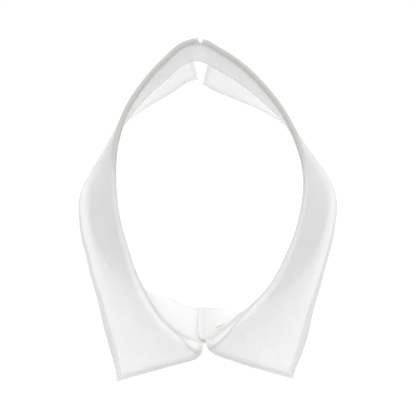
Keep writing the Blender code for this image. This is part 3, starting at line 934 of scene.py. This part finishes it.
def poplin(name, kind):
    """Poplin's height is the sine along times the sine down, plus yarn noise drawn out along each direction.
    Each skin lets one share of the light through scattered and another straight."""
    material, tree, output = new_material(name)
    where = add_node(tree, "ShaderNodeUVMap", uv_map="cloth").outputs[0]
    turned_in_and_shade = add_node(tree, "ShaderNodeAttribute", attribute_name="turned_in_and_shade").outputs["Fac"]
    stitch_shade = add_node(tree, "ShaderNodeAttribute", attribute_name="stitch_groove_shade").outputs["Fac"]
    line_shade = add_node(tree, "ShaderNodeAttribute", attribute_name="roll_and_seam_shade").outputs["Fac"]
    split = add_node(tree, "ShaderNodeSeparateXYZ", {0: where})
    waves = []
    for axis in ("X", "Y"):
        angle = add_node(tree, "ShaderNodeMath", {0: split.outputs[axis], 1: np.pi / YARN_SPACING}, operation="MULTIPLY")
        waves.append(add_node(tree, "ShaderNodeMath", {0: angle.outputs[0]}, operation="SINE").outputs[0])
    crossings = add_node(tree, "ShaderNodeMath", {0: waves[0], 1: waves[1]}, operation="MULTIPLY").outputs[0]
    slubs = []
    for stretch in ((60.0, 1400.0, 1.0), (1400.0, 60.0, 1.0)):
        drawn = add_node(tree, "ShaderNodeMapping", {"Vector": where, "Scale": stretch})
        noise = add_node(tree, "ShaderNodeTexNoise", {"Vector": drawn.outputs[0], "Scale": 1.0, "Detail": 2.0})
        slubs.append(noise.outputs[0])
    slub = add_node(tree, "ShaderNodeMath", {0: slubs[0], 1: slubs[1]}, operation="ADD").outputs[0]
    rough = add_node(tree, "ShaderNodeMath", {0: crossings, 1: 0.35, 2: slub}, operation="MULTIPLY_ADD").outputs[0]
    bump = add_node(tree, "ShaderNodeBump", {"Height": rough, "Distance": 0.00002, "Strength": 0.12})
    place = add_node(tree, "ShaderNodeTexCoord").outputs["Object"]
    cloudy = add_node(tree, "ShaderNodeTexNoise", {"Vector": place, "Scale": 90.0, "Detail": 3.0}).outputs[0]
    mixed = add_node(tree, "ShaderNodeMath", {0: slub, 1: 0.5, 2: cloudy}, operation="MULTIPLY_ADD").outputs[0]
    tone = add_node(tree, "ShaderNodeMapRange", {0: mixed, 1: 0.6, 2: 1.4, 3: 0.0, 4: 1.0}).outputs[0]
    plain = add_node(
        tree,
        "ShaderNodeMix",
        {"Factor": tone, "A": to_linear("#FAFAFA"), "B": to_linear("#FDFDFD")},
        data_type="RGBA",
    )
    # Painted shade: the turned-in strips are drawn darker
    strip = add_node(
        tree,
        "ShaderNodeMix",
        {"Factor": turned_in_and_shade, "A": plain.outputs["Result"], "B": to_linear("#F6F4F2")},
        data_type="RGBA",
    )
    # Painted shade along the grooves of the stitch rows
    stitch_shaded = add_node(
        tree,
        "ShaderNodeMix",
        {"Factor": stitch_shade, "A": strip.outputs["Result"], "B": to_linear("#EBE8E6")},
        data_type="RGBA",
    )
    # Painted shade: darker on the roll and in the crevice at the neck seam
    colour = add_node(
        tree,
        "ShaderNodeMix",
        {"Factor": line_shade, "A": stitch_shaded.outputs["Result"], "B": to_linear("#D3CFCB")},
        data_type="RGBA",
    ).outputs["Result"]
    matt = add_node(
        tree,
        "ShaderNodeBsdfPrincipled",
        {"Base Color": colour, "Roughness": 0.8, "Specular IOR Level": 0.25, "Sheen Weight": 0.08, "Normal": bump.outputs[0]},
    )
    through = add_node(tree, "ShaderNodeBsdfTranslucent", {"Color": colour, "Normal": bump.outputs[0]})
    shares = []
    for table in (SCATTERED, STRAIGHT):
        flat = add_node(tree, "ShaderNodeMapRange", {0: turned_in_and_shade, 3: table[kind], 4: table["turned in"]}).outputs[0]
        shares.append(add_node(tree, "ShaderNodeMapRange", {0: line_shade, 3: flat, 4: table["roll_and_seam_shade"]}).outputs[0])
    yarns = add_node(tree, "ShaderNodeMixShader", {0: shares[0], 1: matt.outputs[0], 2: through.outputs[0]})
    gaps = add_node(tree, "ShaderNodeBsdfTransparent", {"Color": (1.0, 1.0, 1.0, 1.0)})
    weave = add_node(tree, "ShaderNodeMixShader", {0: shares[1], 1: yarns.outputs[0], 2: gaps.outputs[0]})
    tree.links.new(weave.outputs[0], output.inputs["Surface"])
    return material


leaf_poplin = poplin("white cotton poplin", "leaf")
stand_poplin = poplin("white cotton poplin over stiff interlining", "stand")
for name, piece in cloth.items():
    piece.data.materials.append(stand_poplin if name == "stand" else leaf_poplin)
print("poplin has", len(leaf_poplin.node_tree.nodes), "nodes")

# %% [markdown]
# Sewing thread is spun polyester: two plies twisted together, with a soft shine. The twist runs round each
# thread too finely for this picture, so a small noise stands for it. The button's thread is the same; where it
# comes out on the inside of the tab, its yellowish tone is painted shade.

# %% Spin the threads and mould the button


def sewing_thread(name, dark, light):
    """A matt white thread: noise at a quarter of a millimetre mixes two near tones and lifts the surface."""
    material, tree, output = new_material(name)
    place = add_node(tree, "ShaderNodeTexCoord").outputs["Object"]
    twist = add_node(tree, "ShaderNodeTexNoise", {"Vector": place, "Scale": 4000.0, "Detail": 1.0}).outputs[0]
    colour = add_node(
        tree, "ShaderNodeMix", {"Factor": twist, "A": to_linear(dark), "B": to_linear(light)}, data_type="RGBA"
    )
    bump = add_node(tree, "ShaderNodeBump", {"Height": twist, "Distance": 0.00004, "Strength": 0.5})
    shader = add_node(
        tree,
        "ShaderNodeBsdfPrincipled",
        {"Base Color": colour.outputs["Result"], "Roughness": 0.55, "Sheen Weight": 0.15, "Normal": bump.outputs[0]},
    )
    tree.links.new(shader.outputs[0], output.inputs["Surface"])
    return material


def pearly_resin():
    """Cast polyester resin with pearl flakes: cloudy bands of two whites under a smooth clear coat."""
    material, tree, output = new_material("pearly polyester resin")
    place = add_node(tree, "ShaderNodeTexCoord").outputs["Object"]
    cloud = add_node(tree, "ShaderNodeTexNoise", {"Vector": place, "Scale": 260.0, "Detail": 3.0, "Distortion": 1.5})
    colour = add_node(
        tree,
        "ShaderNodeMix",
        {"Factor": cloud.outputs[0], "A": to_linear("#E2DDD3"), "B": to_linear("#F8F6F1")},
        data_type="RGBA",
    )
    bump = add_node(tree, "ShaderNodeBump", {"Height": cloud.outputs[0], "Distance": 0.00002, "Strength": 0.3})
    shader = add_node(
        tree,
        "ShaderNodeBsdfPrincipled",
        {
            "Base Color": colour.outputs["Result"],
            "Roughness": 0.22,
            "IOR": 1.55,
            "Coat Weight": 0.5,
            "Coat Roughness": 0.08,
            "Normal": bump.outputs[0],
        },
    )
    tree.links.new(shader.outputs[0], output.inputs["Surface"])
    return material


white_thread = sewing_thread("spun polyester thread", "#E9E8E4", "#FBFBF9")
# The inside bar's yellowish tones are painted shade on the white thread
shaded_inside_thread = sewing_thread("white thread with painted yellowish shade", "#F6F2DE", "#FCFAEE")
for piece in (*stitches.values(), button_thread, buttonhole):
    piece.data.materials.append(white_thread)
inside_thread.data.materials.append(shaded_inside_thread)
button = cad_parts["button"]
button.data.materials.clear()
button.data.materials.append(pearly_resin())
for polygon in button.data.polygons:
    polygon.material_index = 0
print("materials:", sorted(m.name for m in bpy.data.materials if m.users))

# %% [markdown]
# Every piece now says what it belongs to: each is attached to the root body. The shells stand for the cloth
# solids, which stay in the scene but are hidden. A leaf half is cut as a strip that widens to the point.


for piece in (*cloth.values(), *stitches.values(), button_thread, inside_thread, buttonhole):
    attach(piece, "root")
for name, piece in cloth.items():
    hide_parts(name)

# %% [markdown]
# The photograph was taken on a bright white table that throws light up through the cloth, under a soft and
# weaker light from above. So the floor here glows a little, which also keeps it free of shadows, the world
# is an even pale grey. One high wide lamp leans the light from behind the collar, on to the front of the
# stand.

# %% Light the table
FLOOR_GLOW = 1.11
FAR_GLOW = 0.78
GLOW_FALLS = (0.11, 0.26)
SKY = 0.76


def glowing_floor():
    """A lit white table top. Its strength falls evenly from FLOOR_GLOW to FAR_GLOW, between the two distances
    of GLOW_FALLS from the middle."""
    material, tree, output = new_material("lit opal acrylic table")
    place = add_node(tree, "ShaderNodeTexCoord").outputs["Object"]
    distance = add_node(tree, "ShaderNodeVectorMath", {0: place}, operation="LENGTH").outputs["Value"]
    falls = {0: distance, 1: GLOW_FALLS[0], 2: GLOW_FALLS[1], 3: FLOOR_GLOW, 4: FAR_GLOW}
    strength = add_node(tree, "ShaderNodeMapRange", falls).outputs[0]
    shine = add_node(tree, "ShaderNodeEmission", {"Color": (1.0, 1.0, 1.0, 1.0), "Strength": strength})
    tree.links.new(shine.outputs[0], output.inputs["Surface"])
    return material


floor_mesh = bpy.data.meshes.new("floor")
FLOOR_HALF, FLOOR_AT = 2.5, -0.0003
corners = [(x * FLOOR_HALF, y * FLOOR_HALF, FLOOR_AT) for x, y in ((-1, -1), (1, -1), (1, 1), (-1, 1))]
floor_mesh.from_pydata(corners, [], [(0, 1, 2, 3)])
floor = bpy.data.objects.new("floor", floor_mesh)
bpy.context.scene.collection.objects.link(floor)
floor.data.materials.append(glowing_floor())

world = bpy.data.worlds.new("even studio light")
bpy.context.scene.world = world
world.use_nodes = True
world.node_tree.nodes["Background"].inputs["Color"].default_value = to_linear("#FFFFFF")
world.node_tree.nodes["Background"].inputs["Strength"].default_value = SKY

LAMP_AT = (0.08, 0.72, 0.96)
lamp_data = bpy.data.lights.new("high soft lamp", "AREA")
lamp_data.shape = "DISK"
lamp_data.size = 0.9
lamp_data.energy = 5.2
lamp = bpy.data.objects.new("high soft lamp", lamp_data)
lamp.matrix_world = Matrix.Translation(LAMP_AT) @ Matrix.Rotation(-np.arctan2(LAMP_AT[1], LAMP_AT[2]), 4, "X")
bpy.context.scene.collection.objects.link(lamp)

# %% [markdown]
# The camera looks down at 78 degrees from 0.7 m, as the collar's perspective in the photograph shows. Its
# lens is worked out from the size of the picture: 1458 picture dots of focal length on a picture 416 wide.

# %% Set up the camera
CAMERA_ELEVATION = 78.0
CAMERA_DISTANCE = 0.7
LOOKS_AT = np.array([0.0, 0.0, 0.020]) + CENTRED_BY
FOCAL_DOTS = 700 / 0.48
PICTURE = 416

camera_data = bpy.data.cameras.new("camera")
camera_data.sensor_width = 36.0
camera_data.lens = FOCAL_DOTS / PICTURE * camera_data.sensor_width
camera_data.clip_start = 0.05
camera_data.clip_end = 20.0
camera = bpy.data.objects.new("camera", camera_data)
tilt = np.radians(90.0 - CAMERA_ELEVATION)
back_off = CAMERA_DISTANCE * np.array([0.0, -np.sin(tilt), np.cos(tilt)])
camera.matrix_world = Matrix.Translation((LOOKS_AT + back_off).tolist()) @ Matrix.Rotation(tilt, 4, "X")
bpy.context.scene.collection.objects.link(camera)
bpy.context.scene.camera = camera
bpy.context.scene.view_settings.view_transform = "Standard"
print("lens in mm:", round(camera_data.lens, 1))
